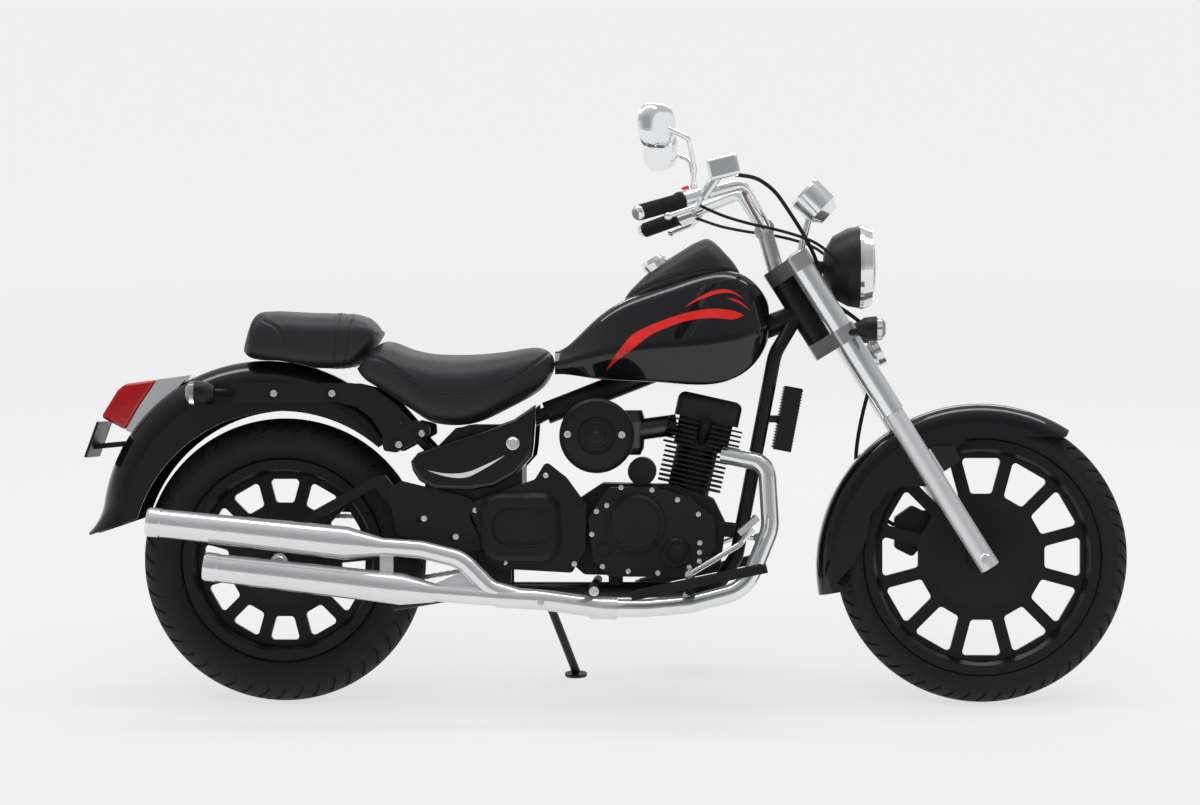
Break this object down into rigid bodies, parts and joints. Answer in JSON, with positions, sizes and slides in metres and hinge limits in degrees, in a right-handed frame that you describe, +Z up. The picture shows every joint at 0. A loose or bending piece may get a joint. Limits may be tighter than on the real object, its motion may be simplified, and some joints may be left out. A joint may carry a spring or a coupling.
{
  "type": "cruiser motorcycle",
  "caption": "Low cruiser motorcycle with one leaning cylinder, stepped seat, cast wheels, stacked mufflers and pull-back bars, leaning on its side stand",
  "frame": {"origin": "middle of the bounding box at floor level, with the motorcycle leaning on its side stand", "axes": "+X is forward along the motorcycle, +Y is the rider's left, +Z is up"},
  "size_m": [2.3767, 0.8787, 1.3852],
  "materials": {
    "gloss_black_paint": "deep gloss black, clear coated",
    "satin_black_metal": "satin black paint",
    "black_engine_metal": "satin black engine paint",
    "chrome_metal": "bright chrome plate",
    "satin_aluminium": "satin cast aluminium",
    "bright_steel": "plain steel",
    "tyre_rubber": "matt black tyre rubber",
    "black_rubber": "matt black rubber",
    "seat_vinyl": "black seat vinyl",
    "satin_black_plastic": "satin black plastic",
    "red_lens": "clear red plastic",
    "clear_lens": "clear plastic lens",
    "mirror_face": "silvered glass"
  },
  "bodies": {
    "chassis": {"swingarm": "satin_black_metal", "rear_axle": "bright_steel", "right_engine_cover": "black_engine_metal", "left_engine_cover": "black_engine_metal", "cylinder_and_head": "black_engine_metal", "crankcase": "black_engine_metal", "fuel_tank": "gloss_black_paint", "tank_pad": "seat_vinyl", "filler_cap": "chrome_metal", "fender_rails": "satin_black_metal", "side_covers": "gloss_black_paint", "battery_box": "satin_black_plastic", "pivot_covers": "satin_black_plastic", "air_cleaner": "satin_black_plastic", "carburettor": "satin_aluminium", "exhaust_header": "chrome_metal", "lower_muffler": "chrome_metal", "upper_muffler": "chrome_metal", "rear_fender": "gloss_black_paint", "rider_seat": "seat_vinyl", "pillion_seat": "seat_vinyl", "tail_lens": "red_lens", "tail_lamp_base": "chrome_metal", "plate_bracket": "satin_black_metal", "rear_indicators": "satin_black_plastic", "rear_indicator_lenses": "clear_lens", "oil_cooler": "satin_black_metal", "floorboards": "black_rubber", "drive_chain": "bright_steel", "front_sprocket": "bright_steel", "foot_pedals": "chrome_metal", "passenger_pegs": "black_rubber", "frame": "satin_black_metal"},
    "steering": {"fork_clamps": "satin_aluminium", "fork_sliders": "satin_aluminium", "fork_covers": "chrome_metal", "front_axle": "bright_steel", "front_fender": "gloss_black_paint", "handlebar": "chrome_metal", "grips": "black_rubber", "hand_controls": "chrome_metal", "mirror_glass": "mirror_face", "mirrors": "chrome_metal", "speedometer": "chrome_metal", "headlight_shell": "satin_black_plastic", "headlight_reflector": "chrome_metal", "headlight_ring": "chrome_metal", "headlight_glass": "clear_lens", "front_indicators": "satin_black_plastic", "front_indicator_lenses": "clear_lens", "horn": "chrome_metal", "brake_caliper": "satin_aluminium", "brake_hose": "black_rubber", "control_cables": "black_rubber"},
    "front_wheel_body": {"front_tyre": "tyre_rubber", "front_wheel": "satin_black_metal", "brake_disc": "bright_steel"},
    "rear_wheel_body": {"rear_tyre": "tyre_rubber", "rear_wheel": "satin_black_metal"},
    "side_stand_body": {"side_stand": "satin_black_metal"}
  },
  "joints": [
    {"name": "steering", "type": "hinge", "parent": "chassis", "child": "steering", "pos_m": [0.48806, -0.04764, 0.81675], "axis": [-0.5299, 0.14, 0.8364], "range_deg": [-35, 35]},
    {"name": "front_wheel_spin", "type": "hinge", "parent": "steering", "child": "front_wheel_body", "pos_m": [0.85636, -0.12934, 0.32849], "axis": [0, 0.9863, -0.165], "continuous": true},
    {"name": "rear_wheel_spin", "type": "hinge", "parent": "chassis", "child": "rear_wheel_body", "pos_m": [-0.73864, -0.13066, 0.3206], "axis": [0, 0.9863, -0.165], "continuous": true},
    {"name": "side_stand_fold", "type": "hinge", "parent": "chassis", "child": "side_stand_body", "pos_m": [-0.13864, -0.05215, 0.2081], "axis": [-0.1703, 0.9787, 0.1145], "range_deg": [0, 100]}
  ]
}
